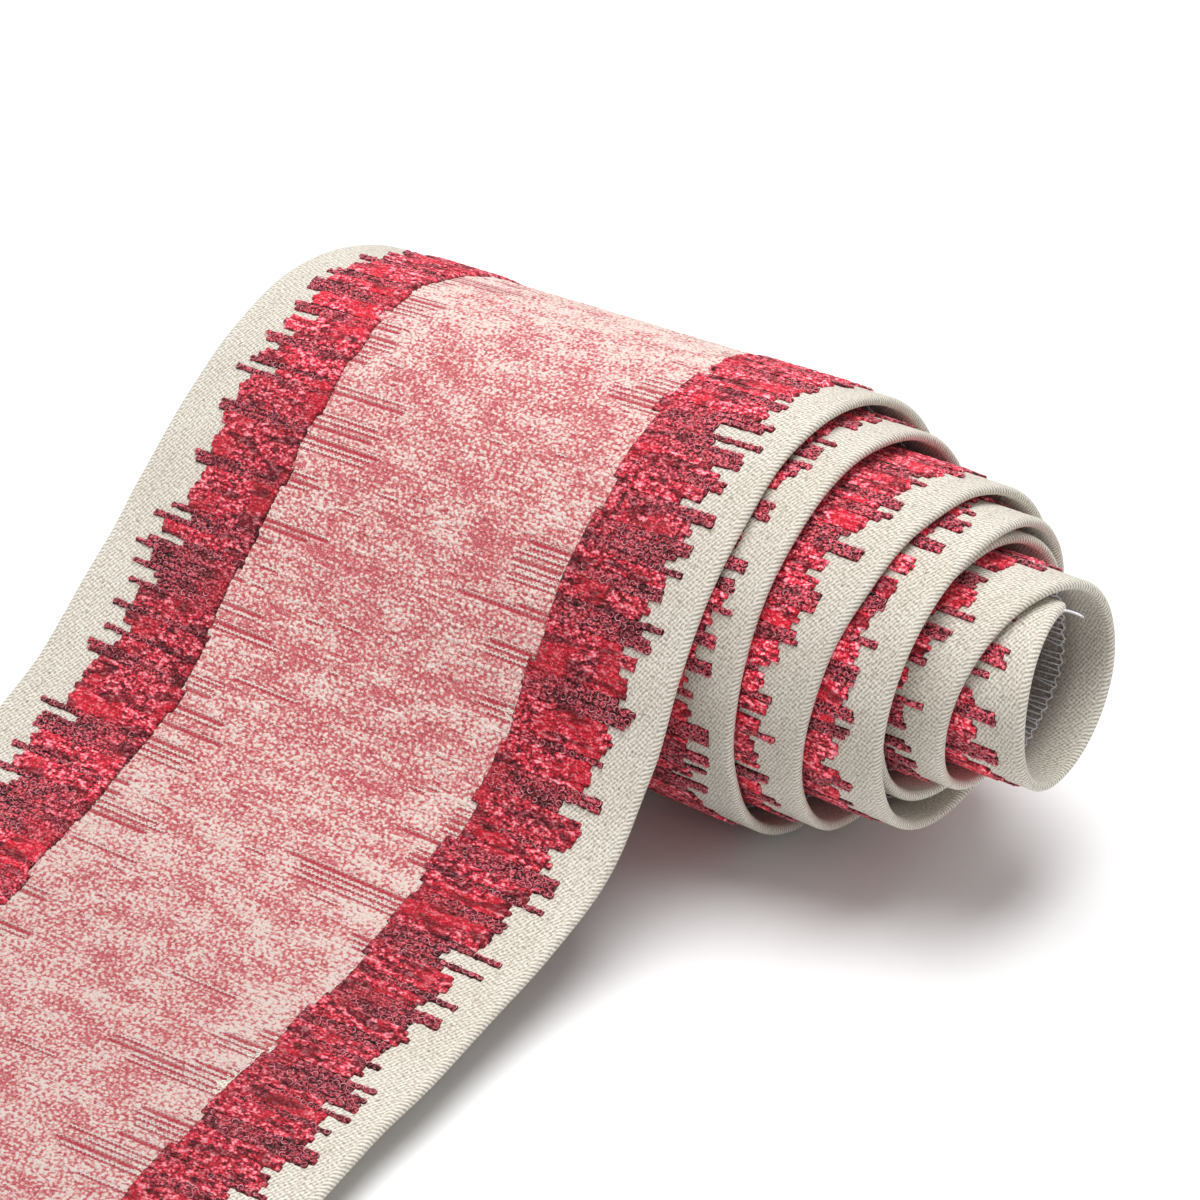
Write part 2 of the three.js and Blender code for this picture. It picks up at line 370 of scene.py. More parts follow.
def buildCrimson(name, band, isLeft):
    dice = np.random.default_rng(crimson["seed"] + int(isLeft))
    start, stop = band["tip"], np.maximum(band["inner"], band["tip"] + 3)
    segment = np.interp(rowAlong, crimson["segmentAt"], crimson["segment"])
    rowPaintedLight = np.interp(rowAlong, *crimson["leftPaintedLight" if isLeft else "rightPaintedLight"])
    pieces = np.maximum(np.round((stop - start) / segment), 3).astype(int)
    rings = pieces + 1
    row = np.repeat(np.arange(rowCount), rings)
    order = np.arange(rings.sum()) - np.repeat(np.cumsum(rings) - rings, rings)
    share = order / pieces[row]
    across = start[row] + (stop - start)[row] * share
    across = np.where(order == 1, start[row] + crimson["squareEnd"], across)
    end = (order == 0) | (order == pieces[row])
    curl = band["curl"][row] * np.clip(curlFade(share), 0, 1)
    # painted light along the tape, with plush rows made lighter toward their tips
    paintedLightAndTipTone = rowPaintedLight[row] * (1 + crimson["tipLighter"] * (1 - curl) * (1 - share))
    height = crimson["plushHeight"] * (1 - curl) + crimson["loopHeight"] * curl
    height = height + dice.uniform(-1, 1, len(row)) * crimson["lumps"] * (0.6 + 0.7 * curl)
    fill = crimson["plushFill"] * (1 - curl) + crimson["loopFill"] * curl
    sides = []
    for step in (-1, 1):
        beside = np.clip(row + step, 0, rowCount - 1)
        meets = (across > start[beside] + 0.3) & (across < stop[beside] - 0.2) & (beside != row)
        sides.append(np.where(meets, fill * height, 0.0))
    shoulder = crimson["shoulder"] * height
    rise = np.stack([sides[0], np.maximum(shoulder, sides[0]), height,
                     np.maximum(shoulder, sides[1]), sides[1]], 1)
    rise = rise + dice.uniform(-1, 1, rise.shape) * crimson["rough"] * (rise > 0.1)
    rise = np.where(end[:, None], crimson["endRise"] * rise, rise)
    uneven = 1 + dice.uniform(-crimson["uneven"], crimson["uneven"], len(row))
    widths = crimson["halfWidth"] * uneven * np.where(end, crimson["endWidth"], 1)
    shake = dice.uniform(-crimson["shake"], crimson["shake"], len(row))
    along = (rowAlong[row] + shake)[:, None] + np.array(crimson["across"]) * widths[:, None]
    slant = dice.uniform(-crimson["slant"], crimson["slant"], rise.shape)
    place = mirrored(across[:, None] + slant * ~end[:, None], isLeft)
    points = onTape(place, along, crimson["base"] + rise)
    here = np.flatnonzero(order < pieces[row])[:, None] * 5 + np.arange(4)
    corners = (0, 5, 6, 1) if isLeft else (0, 1, 6, 5)
    faces = np.stack([here + k for k in corners], -1).reshape(-1, 4)
    values = {"curl": np.repeat(curl, 5), "paintedLightAndTipTone": np.repeat(paintedLightAndTipTone, 5),
              "rise": rise / crimson["plushHeight"]}
    return buildMesh(name, points, [faces], cornersOf(faces, place, along), values)


crimsonRight = buildCrimson("crimson_rows_right", bands["right"], False)
crimsonLeft = buildCrimson("crimson_rows_left", bands["left"], True)
print("crimson rows", len(crimsonRight.data.polygons), len(crimsonLeft.data.polygons), "faces")


# Pink field: low looped rows between the crimson bands, on the loose end and the outer turn.

pink = {
    "until": 432.0, "columnStep": 0.9,            # further in nothing of the field shows
    "valley": 0.40, "ridge": 0.50, "loop": 0.26, "dashRidge": 0.42, "under": 0.25,
    "from": 20.5, "to": 81.5,
    "bunches": {"right": 0.14, "left": 0.21},     # how often dashes start, by row
    "bunchRows": ((1, 2, 3, 4), (0.20, 0.34, 0.28, 0.18)),
    "bunchReach": ((3, 6, 9, 14, 20), (0.22, 0.26, 0.26, 0.17, 0.09)),
    "thick": 1.0, "broken": 0.5,                  # a solid line, and the broken ones beside it
    "bunchStray": (0.75, 1.05),
    "strays": 0.18, "strayReach": (2, 4, 9), "strayStretch": (0.7, 1.4),
    "offsets": (-0.5, -0.17, 0.2),                # the three lines over a row, in row pitches
    "rough": 0.06, "shake": 0.14, "border": 0.2, "overlap": 0.5,
    "seed": 19,
}


def chartDashes(rowsHere, columns):
    dice = np.random.default_rng(pink["seed"])
    dash = np.zeros((rowsHere, len(columns)))
    for band, isLeft in (("right", False), ("left", True)):
        side = mirrored(columns, isLeft)
        for first in np.flatnonzero(dice.random(rowsHere) < pink["bunches"][band]):
            wide = dice.choice(pink["bunchRows"][0], p=pink["bunchRows"][1])
            reach = dice.choice(pink["bunchReach"][0], p=pink["bunchReach"][1])
            thick = dice.integers(wide)
            for row in range(first, min(first + wide, rowsHere)):
                edge = bands[band]["inner"][row]
                kind = pink["thick" if row == first + thick else "broken"]
                far = edge + reach * dice.uniform(*pink["bunchStray"])
                dash[row, (side > edge - 4) & (side < far)] = kind
    for row in np.flatnonzero(dice.random(rowsHere) < pink["strays"]):
        start = dice.uniform(pink["from"], pink["to"] - 8)
        reach = dice.choice(pink["strayReach"]) * dice.uniform(*pink["strayStretch"])
        dash[row, (columns > start) & (columns < start + reach)] = pink["broken"]
    return dash


def buildPink():
    dice = np.random.default_rng(pink["seed"] + 1)
    rowsHere = int((pink["until"] - rowAlong[0]) / rows["pitch"])
    columns = np.arange(pink["from"], pink["to"] + 0.01, pink["columnStep"])
    dash = chartDashes(rowsHere, columns)
    rightEnd = bands["right"]["inner"][:rowsHere, None] - pink["overlap"]
    leftEnd = bands["left"]["inner"][:rowsHere, None] - pink["overlap"]
    covered = (columns < rightEnd) | (tape["width"] - columns < leftEnd)
    loops = dice.random((rowsHere, len(columns)))
    ridge = pink["ridge"] + pink["loop"] * (loops - 0.4)
    ridge = np.where(dash > 0, pink["dashRidge"], ridge)
    ridge = np.where(covered, pink["under"], ridge)
    valley = np.where(covered, pink["under"], pink["valley"])
    low = np.minimum(valley, np.vstack([valley[:1], valley[:-1]]))
    lift = np.stack([low, ridge, ridge], 1)
    rough, shake = pink["rough"], pink["shake"]
    lift = lift + dice.uniform(-rough, rough, lift.shape) * (1 - covered)[:, None]
    lift = lift.reshape(-1, len(columns))
    offsets = np.array(pink["offsets"]) * rows["pitch"]
    along = (rowAlong[:rowsHere, None] + offsets).reshape(-1, 1)
    along = along + dice.uniform(-rough, rough, lift.shape)
    across = columns + dice.uniform(-shake, shake, lift.shape)
    lift[:, [0, -1]] = pink["border"]             # the sheet's rim dips into the cloth
    lift[[0, -1]] = pink["border"]
    faces = gridFaces(len(lift), len(columns))
    values = {"dash": np.repeat(dash, 3, 0), "rise": (lift - pink["valley"]) / pink["valley"]}
    return buildMesh("pink_rows", onTape(across, along, lift), [faces],
                     cornersOf(faces, across, along), values)


pinkRows = buildPink()
print("pink rows", len(pinkRows.data.polygons), "faces")


# Threads: short lengths of yarn or sewing thread laid on the cloth, many in one mesh.

def buildThreads(name, lines, radius, sides):
    lines = np.asarray(lines, float)              # thread, point, (across, along, lift)
    count, points = lines.shape[:2]
    run = np.gradient(lines, axis=1)
    run /= np.maximum(np.linalg.norm(run, axis=2, keepdims=True), 1e-9)
    sideways = np.cross(run, (0, 0, 1))
    sideways /= np.linalg.norm(sideways, axis=2, keepdims=True)
    up = np.cross(sideways, run)
    turn = np.arange(sides) * 2 * np.pi / sides + np.pi / sides
    radius = np.broadcast_to(np.asarray(radius, float), (count, points))[..., None, None]
    ring = lines[:, :, None] + radius * (np.cos(turn)[:, None] * sideways[:, :, None]
                                         + np.sin(turn)[:, None] * up[:, :, None])
    placed = onTape(ring[..., 0], ring[..., 1], ring[..., 2])
    base = (np.arange(count) * points * sides)[:, None, None]
    i, j = np.arange(points - 1)[None, :, None], np.arange(sides)[None, None]
    here, beside = base + i * sides + j, base + i * sides + (j + 1) % sides
    faces = np.stack([here, beside, beside + sides, here + sides], -1).reshape(-1, 4)
    first = base[:, 0] + np.arange(sides)
    caps = np.vstack([first[:, ::-1], first + (points - 1) * sides])
    steps = np.linalg.norm(np.diff(lines, axis=1), axis=2)
    length = np.concatenate([np.zeros((count, 1)), np.cumsum(steps, 1)], 1)
    length += 7.3 * np.arange(count)[:, None]     # so that no two threads are tinted alike
    chart = np.stack([np.broadcast_to(turn * 0.2, ring.shape[:3]),        # round and along the thread
                      np.broadcast_to(length[..., None], ring.shape[:3])], -1).reshape(-1, 2)
    corners = chart[np.concatenate([faces.ravel(), caps.ravel()])]
    return buildMesh(name, placed, [faces, caps], corners, {})


# Loose loops of yarn that curl up on the looped rows, thickest near the teeth.

curls = {
    "every": 1.22, "ring": 0.43, "radius": 0.09, "points": 8,
    "span": (190, 320),                           # degrees of a loop that show
    "shownUntil": 240.0, "hiddenReach": 13.0,     # further in only the right edge shows
    "inset": 0.5, "shake": 0.12, "above": 0.02, "tilt": 0.07, "dive": 0.12,
    "seed": 52,
}


def buildCurls():
    dice = np.random.default_rng(curls["seed"])
    centres = []
    for band, isLeft in (("right", False), ("left", True)):
        chart = bands[band]
        for row in np.flatnonzero(chart["curl"] > 0.5):
            shown = rowAlong[row] < curls["shownUntil"]
            if isLeft and not shown:
                continue
            far = chart["inner"][row] if shown else curls["hiddenReach"]
            inset = curls["inset"]
            across = np.arange(chart["tip"][row] + inset, far - inset, curls["every"])
            share = (across - chart["tip"][row]) / (chart["inner"][row] - chart["tip"][row])
            across = across[dice.random(len(across)) < chart["curl"][row] * curlFade(share)]
            across = across + dice.uniform(-curls["shake"], curls["shake"], len(across))
            along = np.full(len(across), rowAlong[row])
            centres.append(np.stack([mirrored(across, isLeft), along], -1))
    centres = np.vstack(centres)
    count = len(centres)
    begin = dice.uniform(0, 360, count)[:, None]
    span = dice.uniform(*curls["span"], count)[:, None]
    turned = np.radians(begin + span * np.linspace(0, 1, curls["points"]))
    ring = curls["ring"] * dice.uniform(0.8, 1.2, count)[:, None]
    across = centres[:, :1] + ring * np.cos(turned)
    along = centres[:, 1:] + dice.uniform(-0.1, 0.1, count)[:, None] + ring * np.sin(turned)
    top = crimson["base"] + crimson["loopHeight"] + curls["above"]
    lift = top + curls["tilt"] * np.sin(turned + dice.uniform(0, 6, count)[:, None])
    lift[:, [0, -1]] -= curls["dive"]             # both ends dive back into the row
    return buildThreads("yarn_curls", np.stack([across, along, lift], -1), curls["radius"], 3)


yarnCurls = buildCurls()
print("curls", len(yarnCurls.data.polygons), "faces")


# Sewing: the hems' running stitch, and the overlock thread over the turned edge on the back.

stitching = {
    "every": 3.9, "length": 2.9, "radius": 0.08,
    "stray": 0.12, "lean": 0.15, "sunk": 0.16, "bulge": 0.1,
    "rungEvery": 1.0, "rungTo": 12.4, "rungRadius": 0.16, "rungOver": 0.1,
    "rungStray": 0.2, "rungEndStray": 0.15, "rungLean": 0.5,
    "chainAt": 8.3, "chainRadius": 0.16, "chainOver": 0.12,
    "chainSway": 0.3, "chainDrift": 0.2, "chainWave": 5, "chainStep": 0.5,
    "tailRadius": 0.2,
    "seed": 11,
}


def runningStitches():
    dice = np.random.default_rng(stitching["seed"])
    starts = np.arange(2.0, tapeLength - 4, stitching["every"])[:, None]
    share = np.linspace(0, 1, 4)
    lines = []
    for isLeft in (False, True):
        stray = dice.uniform(-stitching["stray"], stitching["stray"], starts.shape)
        across = cloth["seamAt"] + stray + stitching["lean"] * (share - 0.5)
        along = starts + stitching["length"] * share
        lift = cloth["face"] - stitching["sunk"] + stitching["bulge"] * np.sin(np.pi * share)
        lift = np.broadcast_to(lift, along.shape)
        lines.append(np.stack([mirrored(across, isLeft), along, lift], -1))
    return buildThreads("hem_stitches", np.concatenate(lines), stitching["radius"], 4)


def overlockThreads():
    dice = np.random.default_rng(stitching["seed"] + 1)
    starts = np.arange(1.0, tapeLength - 1.5, stitching["rungEvery"])[:, None]
    share = np.linspace(0, 1, 4)
    hem = cloth["hemWidth"]
    onHem, pastHem = cloth["hemBack"] - stitching["rungOver"], cloth["back"] - stitching["rungOver"]
    stray, endStray, lean = (stitching[key] for key in ("rungStray", "rungEndStray", "rungLean"))
    lines = []
    for isLeft in (False, True):
        begin = stitching["chainAt"] + dice.uniform(-stray, stray, starts.shape)
        far = stitching["rungTo"] + dice.uniform(-endStray, endStray, starts.shape)
        across = begin + (far - begin) * share
        along = starts + dice.uniform(-stray, stray, starts.shape)
        along = along + dice.uniform(-lean, lean, starts.shape) * share
        lift = np.interp(across, (0, hem, hem + 0.6), (onHem, onHem, pastHem))
        lines.append(np.stack([mirrored(across, isLeft), along, lift], -1))
    return buildThreads("overlock_rungs", np.concatenate(lines), stitching["rungRadius"], 4)


def overlockChain():
    run = np.arange(0, tapeLength - 2, stitching["chainStep"])
    sway = stitching["chainSway"] * np.sin(run * np.pi / stitching["rungEvery"])
    lines = []
    for isLeft in (False, True):
        seed = stitching["seed"] + 10 + isLeft
        drift = stitching["chainDrift"] * softNoise(seed, run, stitching["chainWave"])
        for middle, under in ((stitching["chainAt"], cloth["hemBack"]),
                              (stitching["rungTo"], cloth["back"])):
            across = mirrored(middle + sway + drift, isLeft)
            lift = np.full(len(run), under - stitching["chainOver"])
            lines.append(np.stack([across, run + 1.0, lift], -1))
    return buildThreads("overlock_chain", np.stack(lines), stitching["chainRadius"], 4)


def overlockTail():                               # its loose end, at the inner end's corner
    across = np.array([2.0, 1.1, 0.2, -0.7, -1.6, -2.5, -3.4])
    along = tapeLength - 0.9 + np.array([0, 0.08, 0.1, 0.05, -0.05, -0.15, -0.3])
    lift = np.array([-1.1, -0.9, -0.5, -0.3, -0.2, -0.2, -0.25])
    radius = stitching["tailRadius"] * np.array([0.8, 1, 1, 1.05, 1, 1, 0.6])
    return buildThreads("overlock_tail", np.stack([across, along, lift], -1)[None], radius, 8)


hemStitches = runningStitches()
overlockRungs = overlockThreads()
overlockLine = overlockChain()
overlockEnd = overlockTail()
sewing = [hemStitches, overlockRungs, overlockLine, overlockEnd]
print("threads", sum(len(piece.data.polygons) for piece in sewing), "faces")


# Materials. A finish holds one node tree, and a value wraps one of its sockets.

class Value:                                      # a socket that takes part in sums
    def __init__(self, finish, socket):
        self.finish, self.socket = finish, socket

    def sum(self, operation, *others):
        return self.finish.node("ShaderNodeMath", {"operation": operation}, dict(enumerate(others)))

    def __add__(self, other):
        return self.sum("ADD", self, other)

    def __radd__(self, other):
        return self.sum("ADD", other, self)

    def __sub__(self, other):
        return self.sum("SUBTRACT", self, other)

    def __rsub__(self, other):
        return self.sum("SUBTRACT", other, self)

    def __mul__(self, other):
        return self.sum("MULTIPLY", self, other)

    def __rmul__(self, other):
        return self.sum("MULTIPLY", other, self)

    def __truediv__(self, other):
        return self.sum("DIVIDE", self, other)

    def size(self):
        return self.sum("ABSOLUTE", self)

    def fraction(self):
        return self.sum("FRACT", self)

    def wave(self):                               # from 0 to 1, once for every whole number
        return 0.5 + 0.5 * self.sum("SINE", 2 * math.pi * self)


class Finish:
    def __init__(self, name):
        self.material = bpy.data.materials.new(name)
        self.material.use_nodes = True
        self.tree = self.material.node_tree
        self.shader = self.tree.nodes["Principled BSDF"]

    def node(self, kind, settings, inputs, output=0):
        made = self.tree.nodes.new(kind)
        for key, setting in settings.items():
            setattr(made, key, setting)
        for key, given in inputs.items():
            self.fill(made.inputs[key], given)
        return Value(self, made.outputs[output])

    def fill(self, socket, given):
        if isinstance(given, Value):
            self.tree.links.new(given.socket, socket)
        else:
            socket.default_value = given

    def chart(self):                              # across and along the tape, in millimetres
        place = self.node("ShaderNodeUVMap", {"uv_map": "weave"}, {})
        return [self.node("ShaderNodeSeparateXYZ", {}, {0: place}, k) for k in (0, 1)]

    def spot(self, x, y):
        return self.node("ShaderNodeCombineXYZ", {}, {0: x, 1: y})

    def attribute(self, name):
        return self.node("ShaderNodeAttribute", {"attribute_name": name}, {}, "Fac")

    def noise(self, x, y, detail=2.0, rough=0.55):
        inputs = {"Vector": self.spot(x, y), "Scale": 1.0, "Detail": detail, "Roughness": rough}
        return self.node("ShaderNodeTexNoise", {"noise_dimensions": "2D"}, inputs)

    def cells(self, x, y, spread=1.0):
        inputs = {"Vector": self.spot(x, y), "Scale": 1.0, "Randomness": spread}
        return self.node("ShaderNodeTexVoronoi", {"voronoi_dimensions": "2D"}, inputs)

    def between(self, value, low, high, start=0.0, end=1.0):
        return self.node("ShaderNodeMapRange", {"interpolation_type": "SMOOTHSTEP"},
                         {0: value, 1: low, 2: high, 3: start, 4: end})

    def mix(self, share, first, second, blend="MIX"):
        first = (*first, 1) if isinstance(first, tuple) else first
        second = (*second, 1) if isinstance(second, tuple) else second
        return self.node("ShaderNodeMix", {"data_type": "RGBA", "blend_type": blend},
                         {0: share, 6: first, 7: second}, 2)

    def shaded(self, colour, shade):
        grey = self.node("ShaderNodeCombineXYZ", {}, {0: shade, 1: shade, 2: shade})
        return self.mix(1.0, colour, grey, "MULTIPLY")

    def ramp(self, value, stops):
        colour = self.node("ShaderNodeValToRGB", {}, {0: value})
        elements = colour.socket.node.color_ramp.elements
        while len(elements) < len(stops):
            elements.new(0.5)
        for element, (place, shade) in zip(elements, stops):
            element.position, element.color = place, (*shade, 1)
        return colour

    def put(self, key, given):
        self.fill(self.shader.inputs[key], given)

    def bump(self, height, strength, distance):
        inputs = {"Strength": strength, "Distance": distance, "Height": height}
        self.put("Normal", self.node("ShaderNodeBump", {}, inputs))


def creamTwill():
    f = Finish("cream_twill")
    across, along = f.chart()
    back = f.attribute("backSide")
    drift = f.noise(across * 0.7, along * 0.7) - 0.5
    ribs = (across / 0.62 + along / 1.1 + 0.9 * drift).wave()
    picks = (along / 0.72 - across / 1.9 + 0.6 * drift).wave()
    fuzz = f.noise(across * 2.6, along * 2.0, 3.0, 0.65)
    dashes = 0.40 * ribs + 0.25 * picks + 0.35 * f.between(fuzz, 0.36, 0.62)
    cloud = f.noise(across * 0.09, along * 0.07)
    fromFold = centre - (across - centre).size()
    rib = (along / 0.72 + across * 0.8 + 0.6 * drift).wave()
    edge = f.between(fromFold, 0.4, 1.7, 1.0, 0.0) * f.between(fromFold, -2.6, -1.4)
    weave = dashes * (1 - 0.7 * edge) + 0.7 * edge * rib
    colour = f.ramp(weave, [(0.12, (0.37, 0.32, 0.255)), (0.42, (0.60, 0.55, 0.47)),
                            (0.76, (0.83, 0.80, 0.73))])
    inSeam = f.between((fromFold - cloth["seamAt"]).size(), 0.12, 0.30, 1.0, 0.0)
    holes = inSeam * f.between(((along / 5.6).fraction() - 0.5).size(), 0.025, 0.055, 1.0, 0.0)
    colour = f.mix(holes * 0.5, colour, (0.17, 0.12, 0.09))
    fleck = f.between(f.noise(across * 1.3 + 20, along * 1.7), 0.60, 0.68)
    colour = f.mix(fleck * 0.4, colour, (0.36, 0.30, 0.235))
    colour = f.mix(f.between(cloud, 0.35, 0.7), colour, (0.95, 0.94, 0.92), "MULTIPLY")
    speck = f.noise(across * 1.6, along * 2.6, 4.0, 0.75)
    # the back's greyer cloth, darkened with painted shade
    backGreyAndShade = f.ramp(speck, [(0.36, (0.23, 0.185, 0.16)), (0.52, (0.36, 0.31, 0.27)),
                          (0.68, (0.58, 0.53, 0.47))])
    f.put("Base Color", f.mix(back, colour, backGreyAndShade))
    f.put("Roughness", 0.92)
    f.put("Sheen Weight", 0.2)
    f.put("Sheen Roughness", 0.5)
    f.put("Specular IOR Level", 0.2)
    f.bump(0.7 * weave + 0.3 * fuzz, 0.55, 0.0002)
    return f.material


def crimsonPile():
    f = Finish("crimson_pile")
    across, along = f.chart()
    curl, rise = f.attribute("curl"), f.attribute("rise")
    mottle = f.noise(across * 0.74, along * 1.25, 2.5, 0.55)
    fine = f.noise(across * 2.6, along * 3.4, 2.0, 0.6)
    # knobs of the pile: they feed the bump, and the colour partly as painted highlight on the knobs and
    # painted shade between them
    knobReliefAndHighlight = f.between(f.cells(across / 0.70, along / 0.60, 0.95), 0.10, 0.62, 1.0, 0.0)
    # painted highlight: thin bright squiggles on the plush, also used in the bump
    ridged = (f.noise(across * 1.25 + 40, along * 1.15, 1.5, 0.5) - 0.5).size()
    highlightSquiggle = f.between(ridged, 0.010, 0.030, 1.0, 0.0) * f.between(fine, 0.44, 0.54)
    ring = f.cells((across - 0.1) / 0.95, (along - rows["before"]) / rows["pitch"] - 0.36, 0.35)
    loop = f.between((ring - 0.34).size(), 0.05, 0.11, 1.0, 0.0) * f.between(fine, 0.40, 0.52)
    tone = 0.70 * mottle + 0.20 * fine + 0.12 * knobReliefAndHighlight
    plush = f.ramp(tone, [(0.39, (0.08, 0.003, 0.008)), (0.46, (0.40, 0.008, 0.022)),
                          (0.51, (0.60, 0.018, 0.042)), (0.56, (0.78, 0.085, 0.125)),
                          (0.62, (0.92, 0.32, 0.37))])
    deepZone = f.between(f.noise(across * 0.14, along * 0.12, 1.0), 0.52, 0.62)
    plush = f.mix(deepZone * 0.65, plush, (0.50, 0.007, 0.020))
    plush = f.mix(highlightSquiggle * 0.7, plush, (0.78, 0.24, 0.28))
    looped = f.ramp(0.40 * mottle + 0.24 * fine + 0.36 * knobReliefAndHighlight, [
        (0.36, (0.03, 0.002, 0.005)), (0.47, (0.20, 0.005, 0.014)), (0.57, (0.58, 0.018, 0.042)),
        (0.67, (0.86, 0.14, 0.18))])
    looped = f.mix(loop * 0.6, looped, (0.82, 0.24, 0.29))
    colour = f.mix(curl, plush, looped)
    shade = 1 - 0.6 * f.between(f.noise(across * 0.16 + 60, along * 0.5, 1.5), 0.53, 0.64)
    # painted shade: darker where a row is low, in the furrows between rows and at the rows' ends
    paintedFurrowShade = f.between(rise, 0.05, 0.85, 0.18, 1.04)
    # the colour is scaled by painted light along the tape, by random darker patches and by painted shade
    # in the furrows
    f.put("Base Color", f.shaded(colour, f.attribute("paintedLightAndTipTone") * shade * paintedFurrowShade))
    f.put("Roughness", 0.75)
    f.put("Sheen Weight", 0.3)
    f.put("Sheen Roughness", 0.4)
    f.put("Sheen Tint", (1.0, 0.45, 0.5, 1.0))
    f.put("Specular IOR Level", 0.25)
    f.bump(0.35 * mottle + 0.35 * fine + 0.5 * knobReliefAndHighlight + 0.4 * highlightSquiggle + 0.5 * loop * curl, 0.9, 0.0004)
    return f.material


def pinkLoops():
    f = Finish("pink_loops")
    across, along = f.chart()
    dash, rise = f.attribute("dash"), f.attribute("rise")
    weft = f.noise(across * 1.5, along * 1.8, 2.0, 0.55)
    pebble = f.between(f.cells(across / 0.66, along / 0.56, 0.95), 0.10, 0.66, 1.0, 0.0)
    cloud = f.noise(across * 0.12 + 7, along * 0.26, 3.0, 0.6)
    fine = f.noise(across * 3.0, along * 4.4, 2.0, 0.6)
    # pale: paler cloth on the loose end, fading out by 130 mm along, and painted light on the roll's top
    # from 178 mm along on
    pale = f.between(along, 95.0, 130.0, 0.35, 0.0) + f.between(along, 178.0, 212.0)
    border = f.between((across - centre).size(), 14.0, 26.0, 0.0, 0.05)
    # in the lightness, the rise term is painted light and shade: loop tops lighter, the valleys between
    # rows darker
    light = 0.72 * weft + 0.22 * pebble + 0.5 * (cloud - 0.5) + 0.12 * pale + 0.16 * rise + border
    rosy = f.mix(f.between(fine, 0.35, 0.62), (0.42, 0.055, 0.075), (0.60, 0.165, 0.175))
    colour = f.mix(f.between(light, 0.37, 0.55), rosy, (0.69, 0.325, 0.31))
    colour = f.mix(f.between(light, 0.50, 0.66), colour, (0.76, 0.64, 0.58))
    deep = f.between(f.noise(across * 0.5 + 30, along * 2.9), 0.62, 0.69) * (1 - 0.6 * pale)
    colour = f.mix(deep * 0.8, colour, (0.42, 0.026, 0.05))
    middle = ((along - rows["before"]) / rows["pitch"]).fraction()
    thick = f.between(dash, 0.7, 0.9)
    line = f.between((middle - 0.34).size(), 0.14 + 0.15 * thick, 0.22 + 0.17 * thick, 1.0, 0.0)
    way = across.sum("PINGPONG", across, 0.36) / 0.36
    zigzag = f.between((middle - 0.66 - 0.3 * (way - 0.5)).size(), 0.10, 0.20, 1.0, 0.0)
    dashed = f.between(dash, 0.2, 0.45) * f.between(fine + 0.1 * thick, 0.30, 0.42)
    colour = f.mix(dashed * line * 0.85, colour, (0.44, 0.018, 0.040))
    colour = f.mix(dashed * zigzag * (0.9 - 0.6 * thick), colour, (0.84, 0.72, 0.66))
    # painted shade: the loose end up to 70 mm along is darker, and past 140 mm the colour is slightly
    # lighter
    f.put("Base Color", f.shaded(colour, f.between(along, 70.0, 140.0, 0.85, 1.03)))
    f.put("Roughness", 0.85)
    f.put("Sheen Weight", 0.2)
    f.put("Specular IOR Level", 0.2)
    f.bump(0.6 * weft + 0.4 * fine + 0.3 * dashed * (zigzag - line), 0.8, 0.0004)
    return f.material


def sewingThread(name, dark, pale):
    f = Finish(name)
    around, run = f.chart()
    ply = (around * 2.0 + run * 1.6).wave()
    tint = f.noise(around * 0.3, run * 0.5, 1.0)
    f.put("Base Color", f.mix(0.35 * ply + f.between(tint, 0.36, 0.62, 0.0, 0.65), dark, pale))
    f.put("Roughness", 0.6)
    f.put("Sheen Weight", 0.2)
    f.bump(ply, 0.5, 0.00008)
    return f.material


tapeCloth.data.materials.append(creamTwill())
pile = crimsonPile()
crimsonRight.data.materials.append(pile)
crimsonLeft.data.materials.append(pile)
pinkRows.data.materials.append(pinkLoops())
yarnCurls.data.materials.append(sewingThread("curl_yarn", (0.56, 0.035, 0.075), (0.88, 0.34, 0.39)))
hemStitches.data.materials.append(sewingThread("cream_thread", (0.52, 0.46, 0.38), (0.66, 0.61, 0.53)))
greyThread = sewingThread("overlock_thread", (0.72, 0.69, 0.72), (0.90, 0.88, 0.90))
for piece in (overlockRungs, overlockLine, overlockEnd):
    piece.data.materials.append(greyThread)
print("materials done")


# Floor, light and camera.

studio = {
    "floorSize": 6.0, "floorBelow": 0.0002,
    "sky": 0.43,
    "lamp": {"place": (0.04, 0.02, 1.20), "target": (0, -0.03, 0), "size": 0.9, "power": 15.2},
}


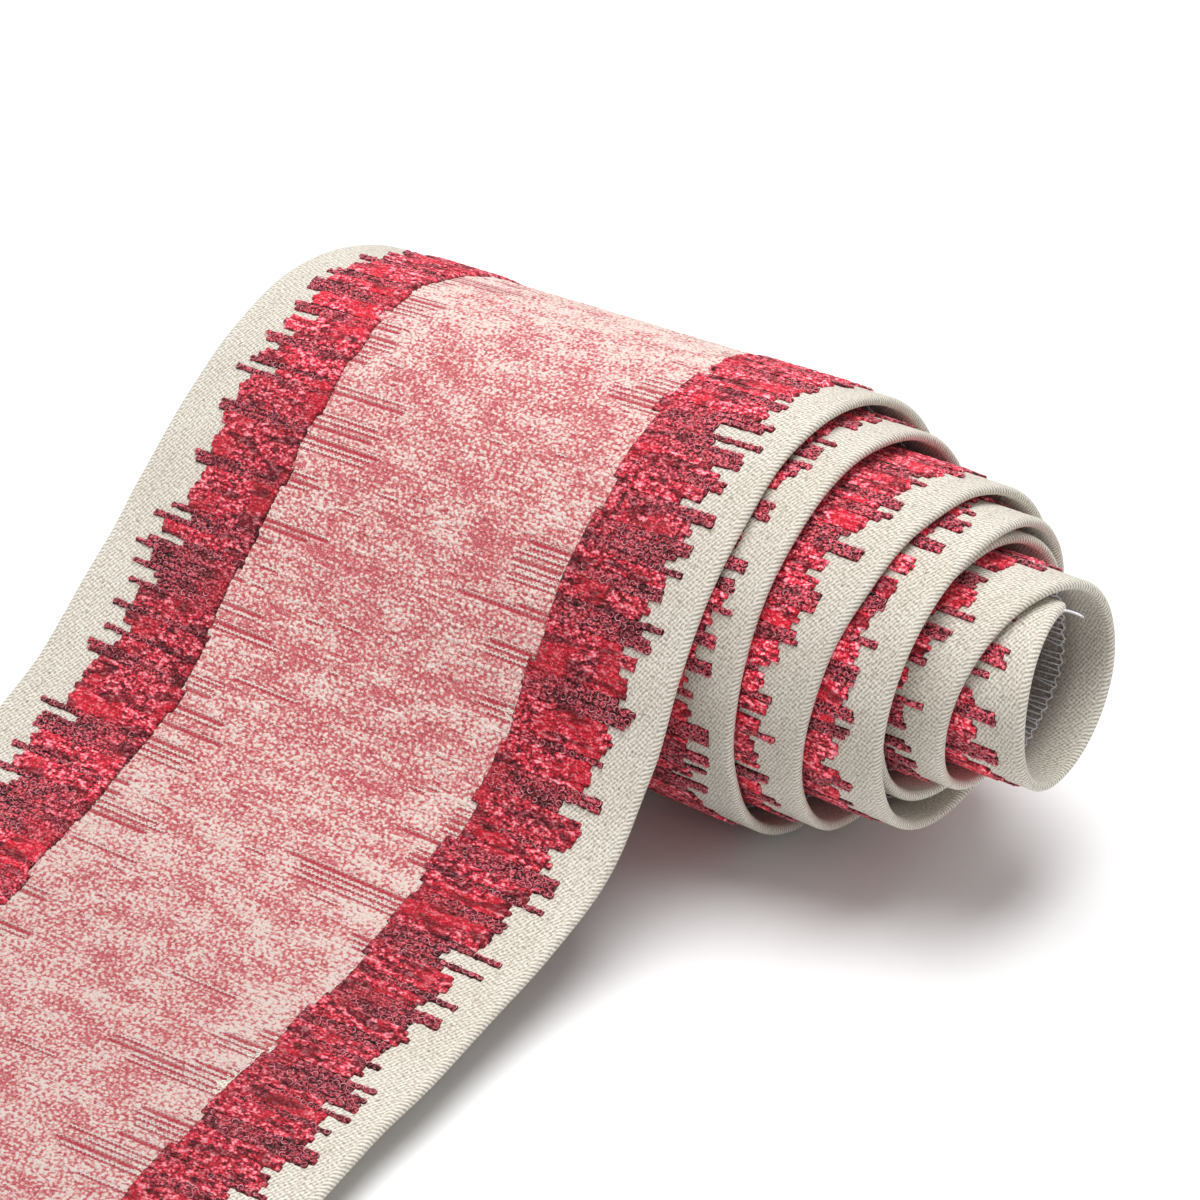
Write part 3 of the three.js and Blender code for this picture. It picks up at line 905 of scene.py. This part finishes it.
def buildFloor():
    bpy.ops.object.select_all(action="DESELECT")
    bpy.ops.mesh.primitive_plane_add(size=studio["floorSize"], location=(0, 0, -studio["floorBelow"]))
    floor = bpy.context.object
    floor.name = "floor"
    bpy.ops.object.transform_apply(location=True)
    f = Finish("white_paper")
    f.put("Base Color", (0.93, 0.93, 0.935, 1))
    f.put("Roughness", 0.6)
    floor.data.materials.append(f.material)
    return floor


def areaLight(name, place, target, size, power):
    lamp = bpy.data.lights.new(name, "AREA")
    lamp.shape, lamp.size, lamp.energy = "DISK", size, power
    holder = bpy.data.objects.new(name, lamp)
    bpy.context.scene.collection.objects.link(holder)
    holder.location = place
    holder.rotation_mode = "QUATERNION"
    holder.rotation_quaternion = (Vector(place) - Vector(target)).to_track_quat("Z", "Y")
    return holder


floor = buildFloor()
world = bpy.data.worlds.new("studio")
bpy.context.scene.world = world
world.use_nodes = True
world.node_tree.nodes["Background"].inputs[0].default_value = (1, 1, 1, 1)
world.node_tree.nodes["Background"].inputs[1].default_value = studio["sky"]
areaLight("overhead", **studio["lamp"])
bpy.context.scene.view_settings.view_transform = "Standard"
bpy.context.scene.view_settings.look = "None"

view = {
    "azimuth": 37.02, "elevation": 32.12, "distance": 0.491,
    "target": (0.00909, 0.0, 0.02286), "focal": 89.88,
}
camera = bpy.data.objects.new("camera", bpy.data.cameras.new("camera"))
bpy.context.scene.collection.objects.link(camera)
turn, rise = math.radians(view["azimuth"]), math.radians(view["elevation"])
away = Vector((math.sin(turn) * math.cos(rise), -math.cos(turn) * math.cos(rise), math.sin(rise)))
camera.location = Vector(view["target"]) + away * view["distance"]
camera.rotation_mode = "QUATERNION"
camera.rotation_quaternion = away.to_track_quat("Z", "Y")
camera.data.sensor_width = 36
camera.data.lens = view["focal"]
camera.data.clip_start, camera.data.clip_end = 0.01, 20
bpy.context.scene.camera = camera

raised = [crimsonRight, crimsonLeft, pinkRows, yarnCurls, *sewing]
for piece in (tapeCloth, *raised):
    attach(piece, "root")
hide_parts("tape_roll")
